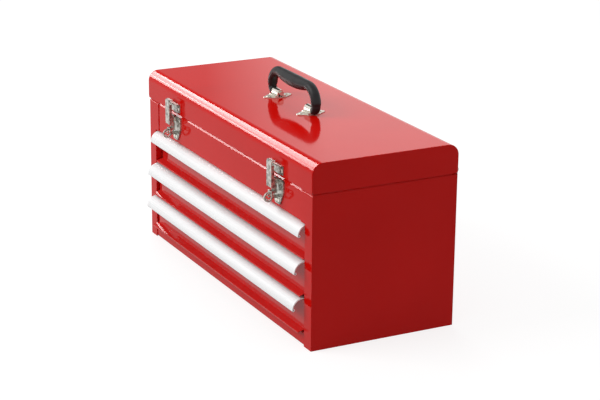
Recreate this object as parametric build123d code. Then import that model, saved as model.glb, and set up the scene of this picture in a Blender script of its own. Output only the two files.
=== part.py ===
from build123d import *

import os
from math import atan2, degrees, pi, sin, tan

# Portable tool box with three drawers, a lidded till, two draw latches and a folding handle.
# Millimetres. Origin: centre of the base, on the surface it stands on. +X along the length,
# to the right seen from the front, +Y to the back, +Z up.

# ---- cabinet ----
BODY_LENGTH = 520.0
BODY_DEPTH = 212.0
BODY_HEIGHT = 211.5  # base to the lid's lower edge
SHEET = 1.0  # cabinet and lid sheet
FLANGE_WIDTH = 20.0  # front flange beside the drawers
HEAD_FLANGE_WIDTH = 31.0  # front flange beside the apron
RETURN_DEPTH = 12.0  # the flange's edge folded back along the drawers
BACK_FLANGE_WIDTH = 14.0
RAIL_LAP = 12.0  # rail lapped behind the flanges
APRON_LAP = 24.0  # apron lapped behind the flanges
OPENING_BOTTOM = 18.2
RAIL_BOTTOM = 2.4
FOLD_DEPTH = 11.0  # stiffening folds of apron, rail and back
BASE_LIP = 11.0  # upturned edge of the bottom panel
TILL_LIP = 9.0
PANEL_GAP = 0.4

# ---- collar that the lid closes over ----
COLLAR_INSET = 1.5
COLLAR_DROP = 1.4  # lid's lower edge to the top of the shoulder
COLLAR_SLOPE = 2.4  # height of the shoulder
COLLAR_RISE = 8.5  # above the lid's lower edge
COLLAR_BACK_STOP = 8.0  # the collar ends this far before the back, for the lid's swing

# ---- lid ----
LID_HEIGHT = 40.0
LID_OVERHANG = 1.2  # at the front and the ends
LID_EDGE_RADIUS = 15.0
LID_CORNER_RADIUS = 3.5  # lower corners of the lid ends
LID_FLANGE = 9.0  # welding flange of the lid ends

# ---- piano hinge ----
HINGE_END_GAP = 5.0  # from the cabinet's ends
HINGE_KNUCKLES = 17
KNUCKLE_RADIUS = 2.5
KNUCKLE_GAP = 0.4
HINGE_PIN_RADIUS = 1.2
HINGE_PIN_STICKOUT = 1.5
LEAF_SHEET = 1.0
LEAF_WIDTH = 15.0
HINGE_RISE = 3.0  # pin centre above the lid's lower edge
HINGE_FREE = 0.3  # knuckles clear of the panels
RUNNING_FIT = 0.05
HINGE_RIVETS = 6
HINGE_RIVET_RADIUS = 1.5

# ---- drawers ----
DRAWER_COUNT = 3
DRAWERS_AJAR = (0.0, 5.0, 7.0)  # how far each stands out, top to bottom
DRAWER_SHEET = 0.8
DRAWER_SIDE_GAP = 2.0
DRAWER_GAP_ABOVE = 1.6
DRAWER_GAP_BELOW = 0.4
FACE_RECESS = 9.5  # the face behind the cabinet's front
LEDGE_OUT = 10.0
LEDGE_RISE = 3.2
LEDGE_HEM = 1.0
TRAY_BACK_GAP = 8.2  # tray to the back panel
TRAY_HEIGHT = 38.0
TRAY_LIFT = 4.0  # tray floor above the drawer's lowest edge
TRAY_HEM = 6.0
DRAWER_TRAVEL = 130.0

# ---- pulls ----
PULL_RADIUS = 15.0
PULL_SHEET = 1.6
PULL_ROOT = 3.5  # flat strip from the face out to the round
PULL_BEAD_RADIUS = 2.0
PULL_BEAD_BORE = 1.0  # radius of the screw port along the bead

# ---- slides ----
SLIDE_HEIGHT = 27.0
SLIDE_DEPTH = 10.0
SLIDE_SHEET = 1.0
SLIDE_BEHIND_FACE = 3.0
SLIDE_BACK_GAP = 9.0  # slides to the back panel
SLIDE_LIP = 2.0
SLIDE_FREE = 0.8  # between the fixed member's lip and the moving member
BALL_RADIUS = 1.65
BALL_FREE = 0.3  # each ball clear of the members above and below it
BALLS_PER_ROW = 4
CAGE_LENGTH = 50.0
CAGE_SHEET = 0.5
CAGE_KEPT_IN = 1.0  # cage behind the fixed member's end when the drawer is fully out
CAGE_HOLE_GAP = 0.1
UPRIGHT_WIDTH = 20.0
UPRIGHT_INSET = 2.0  # from the slides' ends

# ---- latches ----
LATCH_INSET = 96.0  # latches' centres, in from the cabinet's ends
BASE_HALF_WIDTH = 16.5
BASE_TIP_HALF_WIDTH = 6.5
BASE_ABOVE_DRAWERS = 5.0  # base's tip above the drawer opening
BASE_BELOW_EYE = 10.0  # base's tip below the eye's centre
BASE_STRAIGHT = 16.5  # height of the base's upright edges
BASE_ABOVE_PIN = 0.5
BASE_CORNER_RADIUS = 2.5
BASE_SHEET = 1.2
BASE_RIM = 1.6
BASE_RIM_RISE = 0.8
BASE_RIVET_IN = 4.6  # upper rivets, in from the sides
BASE_TIP_RIVET_IN = 3.1  # lower rivets, in from the tip's sides
BASE_RIVET_END = 5.0  # rivets, in from the top and the tip
LEVER_PIN_DROP = 5.5  # lever pin below the lid's lower edge
LEVER_PIN_OUT = 9.8  # lever pin in front of the cabinet's apron
HOOK_PIN_DROP = 9.0  # hook pin below the lever pin
HOOK_PIN_OUT = 9.2
LATCH_PIN_RADIUS = 1.2
EAR_RADIUS = 3.0
EAR_SHEET = 1.0
LATCH_SIDE_GAP = 0.3  # between lever, ears and hook
LEVER_HALF_WIDTH = 4.3
LEVER_SHEET = 1.0
LEVER_FRONT_OUT = 13.0
LEVER_WEB_DROP = 1.5  # lever's front web ends this far below the hook pin
LEVER_NECK = 3.8  # the walls narrow this far below the hook pin
LEVER_NECK_IN = 1.0  # narrow part of the walls, behind the hook pin
FINGER_HALF_WIDTH = 5.6
FINGER_DROP = 6.5  # finger tab below the hook pin
FINGER_HEIGHT = 6.0
FINGER_CURL = 4.0
FINGER_DROOP = 0.5
SLOT_SIDE_GAP = 0.75  # tab's slot clear of the padlock eye
SLOT_TOP_GAP = 0.15
SLOT_BRIDGE = 1.6  # tab left above its slot
HOOK_LEVER_GAP = 0.7
HOOK_SHEET = 1.0
HOOK_BELOW_PIN = 0.5  # hook plate's lower edge below the hook pin
HOOK_ABOVE_CATCH = 5.0  # hook plate's top above the catch
HOOK_SIDE_TOP_DROP = 6.5  # hook's walls below its top
HOOK_SIDE_DEPTH = 4.3
HOOK_CURL_RADIUS = 2.6
HOOK_CATCH_GAP = 0.4
EYE_OUT = 15.0
EYE_RADIUS = 6.75
EYE_HOLE_RADIUS = 4.25
EYE_THICKNESS = 2.5
EYE_SHANK_HEIGHT = 4.0
LATCH_RIVET_RADIUS = 1.5

# ---- catches on the lid ----
CATCH_HALF_WIDTH = 18.0
CATCH_BOTTOM = 2.5  # above the lid's lower edge
CATCH_TOP = 16.0
CATCH_SHEET = 1.0
CATCH_LIP_OUT = 6.0
CATCH_BEND_RADIUS = 2.0
CATCH_RIVET_IN = 3.5
CATCH_RIVET_DROP = 1.0  # rivets below the catch's middle

# ---- handle ----
HANDLE_AXIS_RISE = 6.5  # above the lid
HANDLE_TOP_RISE = 44.0
HANDLE_LEG_OUT = 7.5  # legs' centres outside the straps, low down
HANDLE_LEAN = 4.0  # each leg leans in by this much
ROD_RADIUS = 3.0
ROD_PROUD = 3.0  # rod's ends inside the straps
ROD_BEND = 6.0
GRIP_BEND = 22.0
GRIP_FOOT_RADIUS = 6.0  # round the lower bends
GRIP_LEG_RADIUS = 7.0
GRIP_TAPER = 0.75  # share of the legs' straight stretch over which they thicken
GRIP_END_GAP = 0.5  # grip's lower ends clear of the straps
GRIP_MID_RADIUS = 9.5
GRIP_BULGE_HALF = 42.0
GRIP_SECTIONS = 5  # across the bulge
PLATE_LENGTH = 43.0
PLATE_WIDTH = 20.0
PLATE_TIP_HALF = 1.8
PLATE_CORNER_RADIUS = 1.2
PLATE_SHEET = 1.2
PLATE_CENTRE = 50.0  # from the lid's middle
STRAP_WIDTH = 19.0
STRAP_SHEET = 2.0
STRAP_FOOT = 3.5
HANDLE_RIVET_SPACING = 31.0
HANDLE_RIVET_RADIUS = 1.6

# ---- rivets ----
HEAD_RATIO = 1.7  # rivet head radius over shank radius
HEAD_HEIGHT = 1.2

# ---- derived places ----
HALF_LENGTH = BODY_LENGTH / 2
HALF_DEPTH = BODY_DEPTH / 2
OPENING_HALF = HALF_LENGTH - FLANGE_WIDTH
APRON_FACE = -HALF_DEPTH + SHEET
BACK_INSIDE = HALF_DEPTH - SHEET
APRON_HALF = HALF_LENGTH - HEAD_FLANGE_WIDTH + APRON_LAP
RAIL_HALF = OPENING_HALF + RAIL_LAP
LID_TOP = BODY_HEIGHT + LID_HEIGHT
LID_FRONT = -HALF_DEPTH - LID_OVERHANG
LID_END = HALF_LENGTH + LID_OVERHANG
HINGE_LENGTH = BODY_LENGTH - 2 * HINGE_END_GAP
HINGE_Y = HALF_DEPTH + HINGE_FREE + KNUCKLE_RADIUS
HINGE_Z = BODY_HEIGHT + HINGE_RISE

# the latch hangs from the lid's edge, and the drawers come below it
LEVER_PIN_HEIGHT = BODY_HEIGHT - LEVER_PIN_DROP
HOOK_PIN_HEIGHT = LEVER_PIN_HEIGHT - HOOK_PIN_DROP
FINGER_TOP = HOOK_PIN_HEIGHT - FINGER_DROP
SLOT_TOP = FINGER_TOP - SLOT_BRIDGE
EYE_HEIGHT = SLOT_TOP - SLOT_TOP_GAP - EYE_RADIUS
BASE_TOP = LEVER_PIN_HEIGHT + BASE_ABOVE_PIN
BASE_BOTTOM = EYE_HEIGHT - BASE_BELOW_EYE
OPENING_TOP = BASE_BOTTOM - BASE_ABOVE_DRAWERS
HOOK_FRONT_OUT = LEVER_PIN_OUT + EAR_RADIUS + HOOK_LEVER_GAP + HOOK_SHEET
HOOK_TOP = BODY_HEIGHT + CATCH_TOP + HOOK_ABOVE_CATCH
DRAWER_PITCH = (OPENING_TOP - OPENING_BOTTOM) / DRAWER_COUNT

FACE_Y = -HALF_DEPTH + FACE_RECESS
TRAY_HALF = OPENING_HALF - SLIDE_DEPTH - SLIDE_FREE
SLIDE_START = FACE_Y + SLIDE_BEHIND_FACE
SLIDE_LENGTH = BACK_INSIDE - SLIDE_BACK_GAP - SLIDE_START
INNER_SLIDE_HEIGHT = SLIDE_HEIGHT - 2 * SLIDE_SHEET - 4 * (BALL_RADIUS + BALL_FREE)
INNER_SLIDE_DEPTH = SLIDE_DEPTH - SLIDE_SHEET - 2 * CAGE_SHEET
CAGE_START = DRAWER_TRAVEL / 2 + CAGE_KEPT_IN
STRAP_INNER = PLATE_CENTRE - STRAP_WIDTH / 2
STRAP_OUTER = PLATE_CENTRE + STRAP_WIDTH / 2
HANDLE_AXIS_Z = LID_TOP + HANDLE_AXIS_RISE
LATCH_CENTRES = (LATCH_INSET - HALF_LENGTH, HALF_LENGTH - LATCH_INSET)
SIDES = (("left", -1), ("right", 1))


# ---- shapes used by several pieces ----
def block(x, y, z):
    """A box between (low, high) pairs."""
    size = Box(x[1] - x[0], y[1] - y[0], z[1] - z[0])
    return Pos((x[0] + x[1]) / 2, (y[0] + y[1]) / 2, (z[0] + z[1]) / 2) * size


def along_x(profile, low, high):
    """A profile drawn in (Y, Z), run along X."""
    return extrude(Plane.YZ.offset(low) * profile, amount=high - low)


def folded(points, thickness, radius, side=Side.LEFT):
    """The section of a folded strip: its line, and the thickness to one side."""
    line = FilletPolyline(*points, radius=radius)
    return make_face(offset(line, amount=thickness, side=side))


def polygon(points):
    return make_face(Polyline(*points, close=True))


def rod_x(radius, y, z, low, high):
    return along_x(Pos(y, z) * Circle(radius), low, high)


def drawer_bottom(number):
    """The lowest edge of a drawer front; drawer 1 is at the top."""
    return OPENING_TOP - number * DRAWER_PITCH + DRAWER_GAP_BELOW


def drawer_top(number):
    return OPENING_TOP - (number - 1) * DRAWER_PITCH - DRAWER_GAP_ABOVE


def ajar(number):
    return DRAWERS_AJAR[number - 1]


def rivet_y(radius, x, y, z, grip, outward):
    """A rivet along Y: its head sits on the face at y, its shank goes in by the grip."""
    on_end = (Align.CENTER, Align.CENTER, Align.MIN)
    disc = Cylinder(HEAD_RATIO * radius, HEAD_HEIGHT, align=on_end)
    shank = Cylinder(radius, grip + HEAD_HEIGHT, align=on_end)
    into_sheet = Rot(-90 * outward, 0, 0)
    head = Pos(x, y, z) * Rot(90 * outward, 0, 0) * disc
    head_rim = head.edges().filter_by(GeomType.CIRCLE).sort_by(Axis.Y)[::outward][:1]
    tail = Pos(x, y + outward * grip, z) * into_sheet * disc
    return fillet(head_rim, HEAD_HEIGHT / 2) + Pos(x, y, z) * into_sheet * shank + tail


def hole_y(radius, x, z, low, high):
    return Pos(x, (low + high) / 2, z) * Rot(90, 0, 0) * Cylinder(radius, high - low)


# ---- cabinet ----
def body_form(inset):
    """The cabinet's outside, drawn in by an inset: walls, shoulder and collar."""
    length = BODY_LENGTH - 2 * inset
    depth = BODY_DEPTH - 2 * inset
    shoulder = BODY_HEIGHT - COLLAR_DROP - COLLAR_SLOPE - inset
    lean = degrees(atan2(COLLAR_INSET, COLLAR_SLOPE))
    wall = extrude(Rectangle(length, depth), amount=shoulder)
    slope = extrude(Pos(0, 0, shoulder) * Rectangle(length, depth), amount=COLLAR_SLOPE, taper=lean)
    neck = Rectangle(length - 2 * COLLAR_INSET, depth - 2 * COLLAR_INSET)
    neck_bottom = shoulder + COLLAR_SLOPE
    collar = extrude(Pos(0, 0, neck_bottom) * neck, amount=BODY_HEIGHT + COLLAR_RISE - neck_bottom)
    return wall + slope + collar


def body_skin(layer):
    """One sheet of the cabinet's walls; layer 1 lies against the inside of layer 0."""
    return body_form(layer * SHEET) - body_form((layer + 1) * SHEET)


def side_panel(side, skin):
    """End wall, front flanges, the flange's return along the drawers and the back flange."""
    top = BODY_HEIGHT + COLLAR_RISE
    wall_zone = block(
        (HALF_LENGTH - SHEET - COLLAR_INSET, HALF_LENGTH), (-HALF_DEPTH, BACK_INSIDE), (0, top)
    )
    swing_zone = block(
        (0, HALF_LENGTH),
        (HALF_DEPTH - COLLAR_BACK_STOP, HALF_DEPTH),
        (BODY_HEIGHT - COLLAR_DROP, top),
    )
    wall = (skin & wall_zone) - swing_zone
    head_zone = block(
        (HALF_LENGTH - HEAD_FLANGE_WIDTH, HALF_LENGTH), (-HALF_DEPTH, 0), (OPENING_TOP, top)
    )
    foot_zone = block((OPENING_HALF, HALF_LENGTH), (-HALF_DEPTH, 0), (0, OPENING_TOP))
    flange = skin & (head_zone + foot_zone)
    back = block(
        (HALF_LENGTH - BACK_FLANGE_WIDTH, HALF_LENGTH - SHEET),
        (BACK_INSIDE - SHEET, BACK_INSIDE),
        (BASE_LIP, OPENING_TOP),
    )
    fold = block(
        (OPENING_HALF, OPENING_HALF + SHEET),
        (-HALF_DEPTH, -HALF_DEPTH + RETURN_DEPTH),
        (OPENING_BOTTOM, OPENING_TOP),
    )
    panel = wall + flange + back + fold
    return panel if side > 0 else mirror(panel, about=Plane.YZ)


def apron_panel(skin):
    """Front of the till, one sheet behind the flanges, folded in under the till floor."""
    zone = block((-APRON_HALF, APRON_HALF), (-HALF_DEPTH, 0), (OPENING_TOP, BODY_HEIGHT + COLLAR_RISE))
    fold = block(
        (-APRON_HALF, APRON_HALF),
        (APRON_FACE, APRON_FACE + FOLD_DEPTH),
        (OPENING_TOP, OPENING_TOP + SHEET),
    )
    panel = (skin & zone) + fold
    for x, z in latch_rivet_places():
        panel -= hole_y(LATCH_RIVET_RADIUS, x, z, APRON_FACE - SHEET, APRON_FACE + 2 * SHEET)
    return panel


def bottom_rail():
    face = block((-RAIL_HALF, RAIL_HALF), (APRON_FACE, APRON_FACE + SHEET), (RAIL_BOTTOM, OPENING_BOTTOM))
    fold = block(
        (-RAIL_HALF, RAIL_HALF),
        (APRON_FACE, APRON_FACE + FOLD_DEPTH),
        (OPENING_BOTTOM - SHEET, OPENING_BOTTOM),
    )
    return face + fold


def bottom_panel():
    """A shallow pan with upturned edges, inside the side panels and behind the rail."""
    length = (-HALF_LENGTH + SHEET, HALF_LENGTH - SHEET)
    depth = (APRON_FACE + SHEET, BACK_INSIDE)
    pan = block(length, depth, (0, BASE_LIP))
    hollow_length = (length[0] + SHEET, length[1] - SHEET)
    hollow_depth = (depth[0] + SHEET, depth[1] - SHEET)
    return pan - block(hollow_length, hollow_depth, (SHEET, BASE_LIP))


def back_panel():
    top = BODY_HEIGHT - PANEL_GAP
    face = block((-HALF_LENGTH, HALF_LENGTH), (BACK_INSIDE, HALF_DEPTH), (0, top))
    half_fold = HALF_LENGTH - BACK_FLANGE_WIDTH
    fold = block((-half_fold, half_fold), (HALF_DEPTH - FOLD_DEPTH, HALF_DEPTH), (top - SHEET, top))
    panel = face + fold
    for x in hinge_rivet_places():
        panel -= hole_y(HINGE_RIVET_RADIUS, x, body_leaf_rivet_z(), HALF_DEPTH - 2 * SHEET, HALF_DEPTH)
    return panel


def till_floor():
    """Floor of the till: it lies on the apron's fold, with upturned edges at the sides and back."""
    low = OPENING_TOP + SHEET
    length = (-HALF_LENGTH + SHEET, HALF_LENGTH - SHEET)
    depth = (APRON_FACE + SHEET, BACK_INSIDE)
    pan = block(length, depth, (low, low + TILL_LIP))
    hollow_length = (length[0] + SHEET, length[1] - SHEET)
    hollow_depth = (depth[0], depth[1] - SHEET)
    return pan - block(hollow_length, hollow_depth, (low + SHEET, low + TILL_LIP))


def uprights(start):
    """A pair of Z-shaped posts between the side panels and the slides."""
    span = (BASE_LIP, OPENING_TOP)
    front, back = start, start + UPRIGHT_WIDTH
    web = block((OPENING_HALF, OPENING_HALF + SHEET), (front, back), span)
    leg = block((OPENING_HALF, HALF_LENGTH - SHEET), (back - SHEET, back), span)
    foot_depth = (back - SHEET, back + UPRIGHT_WIDTH / 2)
    foot = block((HALF_LENGTH - 2 * SHEET, HALF_LENGTH - SHEET), foot_depth, span)
    post = web + leg + foot
    return [post, mirror(post, about=Plane.YZ)]


# ---- slides ----
def slide_middle(number):
    return (drawer_bottom(number) + drawer_top(number)) / 2


def both_sides(solids):
    return solids + [mirror(s, about=Plane.YZ) for s in solids]


def fixed_slide(number):
    """C-shaped member on the uprights, its lips turned towards the middle."""
    z = slide_middle(number)
    half = SLIDE_HEIGHT / 2
    inner = OPENING_HALF - SLIDE_DEPTH + SLIDE_SHEET / 2
    span = (SLIDE_START, SLIDE_START + SLIDE_LENGTH)
    body = block((inner, OPENING_HALF), span, (z - half, z + half))
    channel_height = (z - half + SLIDE_SHEET, z + half - SLIDE_SHEET)
    channel = block((inner + SLIDE_SHEET, OPENING_HALF - SLIDE_SHEET), span, channel_height)
    mouth_half = half - SLIDE_SHEET - SLIDE_LIP
    mouth = block((inner, inner + SLIDE_SHEET), span, (z - mouth_half, z + mouth_half))
    return both_sides([body - channel - mouth])


def moving_slide(number):
    """Smaller C-shaped member on the drawer's side."""
    z = slide_middle(number)
    half = INNER_SLIDE_HEIGHT / 2
    low = SLIDE_START - ajar(number)
    span = (low, low + SLIDE_LENGTH)
    outer = TRAY_HALF + INNER_SLIDE_DEPTH
    body = block((TRAY_HALF, outer), span, (z - half, z + half))
    channel_height = (z - half + SLIDE_SHEET, z + half - SLIDE_SHEET)
    channel = block((TRAY_HALF + SLIDE_SHEET, outer), span, channel_height)
    return both_sides([body - channel])


def ball_cage(number):
    """Thin cage round the balls, and the balls in their rows above and below the moving member."""
    z = slide_middle(number)
    low = SLIDE_START + CAGE_START - ajar(number) / 2
    row = (INNER_SLIDE_HEIGHT + SLIDE_HEIGHT - 2 * SLIDE_SHEET) / 4
    ball_x = OPENING_HALF - SLIDE_DEPTH / 2 + BALL_RADIUS / 2
    outer = OPENING_HALF - SLIDE_SHEET - CAGE_SHEET
    inner = ball_x - BALL_RADIUS - CAGE_SHEET
    half = row + CAGE_SHEET / 2
    span = (low, low + CAGE_LENGTH)
    cage = block((inner, outer), span, (z - half, z + half))
    cage -= block((inner, outer - CAGE_SHEET), span, (z - half + CAGE_SHEET, z + half - CAGE_SHEET))
    balls = []
    spacing = CAGE_LENGTH / BALLS_PER_ROW
    for place in range(BALLS_PER_ROW):
        for height in (z - row, z + row):
            centre = Pos(ball_x, low + (place + 0.5) * spacing, height)
            cage -= centre * Cylinder(BALL_RADIUS + CAGE_HOLE_GAP, 4 * CAGE_SHEET)
            balls.append(centre * Sphere(BALL_RADIUS))
    return both_sides([cage] + balls)


# ---- drawers ----
def drawer_front(number):
    """Folded front: strip under the pull, recessed face, and a ledge sloping out below."""
    face = FACE_Y - ajar(number)
    back = face + DRAWER_SHEET
    low = drawer_bottom(number)
    high = drawer_top(number) - PULL_SHEET
    points = [
        (face - PULL_ROOT, high),
        (back, high),
        (back, low + LEDGE_HEM + LEDGE_RISE),
        (back - LEDGE_OUT, low + LEDGE_HEM),
        (back - LEDGE_OUT, low),
    ]
    section = folded(points, DRAWER_SHEET, DRAWER_SHEET / 2, Side.RIGHT)
    half = OPENING_HALF - DRAWER_SIDE_GAP
    return along_x(section, -half, half)


def drawer_pull(number):
    """Aluminium extrusion: strip on the front's top fold, quarter round, and a bored bead at the tip."""
    face = FACE_Y - ajar(number)
    root = face - PULL_ROOT
    top = drawer_top(number)
    low = top - PULL_SHEET
    strip = polygon([(root, low), (root, top), (face, top), (face, low)])
    ring = Pos(root, top - PULL_RADIUS) * (Circle(PULL_RADIUS) - Circle(PULL_RADIUS - PULL_SHEET))
    quarter = Pos(root - PULL_RADIUS / 2, top - PULL_RADIUS / 2) * Rectangle(PULL_RADIUS, PULL_RADIUS)
    bead_place = Pos(root - PULL_RADIUS + PULL_BEAD_RADIUS, top - PULL_RADIUS)
    section = strip + (ring & quarter) + bead_place * Circle(PULL_BEAD_RADIUS)
    section -= bead_place * Circle(PULL_BEAD_BORE)
    half = OPENING_HALF - DRAWER_SIDE_GAP
    return along_x(section, -half, half)


def drawer_tray(number):
    """Open tray with hemmed upper edges, fixed to the back of the front."""
    front = FACE_Y + DRAWER_SHEET - ajar(number)
    back = BACK_INSIDE - TRAY_BACK_GAP - ajar(number)
    low = drawer_bottom(number) + TRAY_LIFT
    high = low + TRAY_HEIGHT
    tray = block((-TRAY_HALF, TRAY_HALF), (front, back), (low, high))
    below_hem, hem_bottom = low + DRAWER_SHEET, high - TRAY_HEM
    for wall, height in ((DRAWER_SHEET, (below_hem, hem_bottom)), (2 * DRAWER_SHEET, (hem_bottom, high))):
        half = TRAY_HALF - wall
        tray -= block((-half, half), (front + wall, back - wall), height)
    return tray


# ---- hinge ----
def hinge_rivet_places():
    spacing = HINGE_LENGTH / HINGE_RIVETS
    return [(n + 0.5) * spacing - HINGE_LENGTH / 2 for n in range(HINGE_RIVETS)]


def body_leaf_rivet_z():
    return HINGE_Z - KNUCKLE_RADIUS - LEAF_WIDTH / 2


def lid_leaf_rivet_z():
    return HINGE_Z + KNUCKLE_RADIUS + LEAF_WIDTH / 2


def hinge_leaf(first, up, rivet_z):
    """One leaf: every second knuckle from the first, and a strip above (up 1) or below (up -1)."""
    pitch = HINGE_LENGTH / HINGE_KNUCKLES
    near = HINGE_Z + up * (KNUCKLE_RADIUS + HINGE_FREE)
    far = HINGE_Z + up * (KNUCKLE_RADIUS + LEAF_WIDTH)
    sheet = (HALF_DEPTH, HALF_DEPTH + LEAF_SHEET)
    leaf = block((-HINGE_LENGTH / 2, HINGE_LENGTH / 2), sheet, (min(near, far), max(near, far)))
    for n in range(first, HINGE_KNUCKLES, 2):
        start = -HINGE_LENGTH / 2 + n * pitch + KNUCKLE_GAP / 2
        end = start + pitch - KNUCKLE_GAP
        leaf += block((start, end), sheet, (min(near, HINGE_Z), max(near, HINGE_Z)))
        leaf += rod_x(KNUCKLE_RADIUS, HINGE_Y, HINGE_Z, start, end)
    leaf -= rod_x(HINGE_PIN_RADIUS + RUNNING_FIT, HINGE_Y, HINGE_Z, -HINGE_LENGTH / 2, HINGE_LENGTH / 2)
    for x in hinge_rivet_places():
        leaf -= hole_y(HINGE_RIVET_RADIUS, x, rivet_z, *sheet)
    return leaf


def hinge_rivets(rivet_z):
    face = HALF_DEPTH + LEAF_SHEET
    grip = LEAF_SHEET + SHEET
    return [rivet_y(HINGE_RIVET_RADIUS, x, face, rivet_z, grip, -1) for x in hinge_rivet_places()]


def hinge_pin():
    half = HINGE_LENGTH / 2 + HINGE_PIN_STICKOUT
    return rod_x(HINGE_PIN_RADIUS, HINGE_Y, HINGE_Z, -half, half)


# ---- lid ----
def lid_outline(inset, bottom_inset=0.0):
    """The lid's section in (Y, Z): square at the bottom, rounded along the top edges."""
    low = BODY_HEIGHT + bottom_inset
    front, back, top = LID_FRONT + inset, HALF_DEPTH - inset, LID_TOP - inset
    round_top = LID_EDGE_RADIUS - inset
    outline = polygon([(front, low), (front, top), (back, top), (back, low)])
    return fillet(outline.vertices().group_by(Axis.Y)[-1], round_top)


def lid_sheet():
    half = HALF_LENGTH + LID_OVERHANG - SHEET
    sheet = along_x(lid_outline(0) - lid_outline(SHEET, -SHEET), -half, half)
    for x in hinge_rivet_places():
        sheet -= hole_y(HINGE_RIVET_RADIUS, x, lid_leaf_rivet_z(), HALF_DEPTH - 2 * SHEET, HALF_DEPTH)
    for x, z in catch_rivet_places():
        sheet -= hole_y(LATCH_RIVET_RADIUS, x, z, LID_FRONT, LID_FRONT + 2 * SHEET)
    for x, y in handle_rivet_places():
        sheet -= Pos(x, y, LID_TOP) * Cylinder(HANDLE_RIVET_RADIUS, 4 * SHEET)
    return sheet


def lid_end(side):
    """End plate with a welding flange inside the lid sheet."""
    outline = lid_outline(0)
    corners = outline.vertices().group_by(Axis.Y)[0]
    plate = along_x(fillet(corners, LID_CORNER_RADIUS), LID_END - SHEET, LID_END)
    flange_section = lid_outline(SHEET, LID_CORNER_RADIUS)
    flange_section -= lid_outline(2 * SHEET, LID_CORNER_RADIUS - SHEET)
    flange = along_x(flange_section, LID_END - LID_FLANGE, LID_END - SHEET)
    end = plate + flange
    return end if side > 0 else mirror(end, about=Plane.YZ)


# ---- latches ----
def latch_rivet_places():
    upper = BASE_HALF_WIDTH - BASE_RIVET_IN
    lower = BASE_TIP_HALF_WIDTH - BASE_TIP_RIVET_IN
    places = []
    for centre in LATCH_CENTRES:
        places += [(centre + s * upper, BASE_TOP - BASE_RIVET_END) for s in (-1, 1)]
        places += [(centre + s * lower, BASE_BOTTOM + BASE_RIVET_END) for s in (-1, 1)]
    return places


def catch_rivet_places():
    z = BODY_HEIGHT + (CATCH_BOTTOM + CATCH_TOP) / 2 - CATCH_RIVET_DROP
    across = CATCH_HALF_WIDTH - CATCH_RIVET_IN
    return [(centre + s * across, z) for centre in LATCH_CENTRES for s in (-1, 1)]


def ear(pin_y, root_y, low, high, inner):
    """The base's two lugs: rounded about the lever's pin, running to a root between low and high."""
    above, below = LEVER_PIN_HEIGHT + EAR_RADIUS, LEVER_PIN_HEIGHT - EAR_RADIUS
    outline = polygon([(root_y, low), (root_y, high), (pin_y, above), (pin_y, below)])
    outline += Pos(pin_y, LEVER_PIN_HEIGHT) * Circle(EAR_RADIUS)
    return along_x(outline, inner, inner + EAR_SHEET) + along_x(outline, -inner - EAR_SHEET, -inner)


def latch_base(centre):
    """Plate with a raised rim, tapered below, and two ears for the lever's pin."""
    outline = polygon(
        [
            (-BASE_HALF_WIDTH, BASE_TOP),
            (-BASE_HALF_WIDTH, BASE_TOP - BASE_STRAIGHT),
            (-BASE_TIP_HALF_WIDTH, BASE_BOTTOM),
            (BASE_TIP_HALF_WIDTH, BASE_BOTTOM),
            (BASE_HALF_WIDTH, BASE_TOP - BASE_STRAIGHT),
            (BASE_HALF_WIDTH, BASE_TOP),
        ]
    )
    outline = fillet(outline.vertices(), BASE_CORNER_RADIUS)
    face = Plane(origin=(0, APRON_FACE, 0), x_dir=(1, 0, 0), z_dir=(0, -1, 0))
    rim = outline - offset(outline, amount=-BASE_RIM)
    plate = extrude(face * outline, amount=BASE_SHEET)
    plate += extrude(face * rim, amount=BASE_SHEET + BASE_RIM_RISE)
    inner = LEVER_HALF_WIDTH + LATCH_SIDE_GAP
    pin_y = APRON_FACE - LEVER_PIN_OUT
    ear_bottom = LEVER_PIN_HEIGHT - 2.5 * EAR_RADIUS
    ear_top = BASE_TOP - BASE_RIM / 2
    plate += ear(pin_y, APRON_FACE - BASE_SHEET / 2, ear_bottom, ear_top, inner)
    reach = inner + 2 * EAR_SHEET
    plate -= rod_x(LATCH_PIN_RADIUS + RUNNING_FIT, pin_y, LEVER_PIN_HEIGHT, -reach, reach)
    shank_half = EYE_SHANK_HEIGHT / 2
    plate -= block(
        (-EYE_THICKNESS / 2, EYE_THICKNESS / 2),
        (APRON_FACE - 2 * BASE_SHEET, APRON_FACE),
        (EYE_HEIGHT - shank_half, EYE_HEIGHT + shank_half),
    )
    plate = Pos(centre, 0, 0) * plate
    for x, z in latch_rivet_places():
        plate -= hole_y(LATCH_RIVET_RADIUS, x, z, APRON_FACE - 2 * BASE_SHEET, APRON_FACE)
    return plate


def padlock_eye(centre):
    """Stamped eye standing out of the base, for a padlock's shackle."""
    y = APRON_FACE - EYE_OUT
    outline = Pos(y, EYE_HEIGHT) * Circle(EYE_RADIUS)
    shank_half = EYE_SHANK_HEIGHT / 2
    outline += polygon(
        [
            (y, EYE_HEIGHT - shank_half),
            (y, EYE_HEIGHT + shank_half),
            (APRON_FACE, EYE_HEIGHT + shank_half),
            (APRON_FACE, EYE_HEIGHT - shank_half),
        ]
    )
    outline -= Pos(y, EYE_HEIGHT) * Circle(EYE_HOLE_RADIUS)
    eye = along_x(outline, -EYE_THICKNESS / 2, EYE_THICKNESS / 2)
    rims = eye.edges().filter_by(GeomType.CIRCLE)
    return Pos(centre, 0, 0) * fillet(rims, EYE_THICKNESS / 4)


def latch_rivets():
    face = APRON_FACE - BASE_SHEET
    grip = BASE_SHEET + SHEET
    return [rivet_y(LATCH_RIVET_RADIUS, x, face, z, grip, 1) for x, z in latch_rivet_places()]


def latch_pin(centre, out, height, half):
    return Pos(centre, 0, 0) * rod_x(LATCH_PIN_RADIUS, APRON_FACE - out, height, -half, half)


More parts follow.
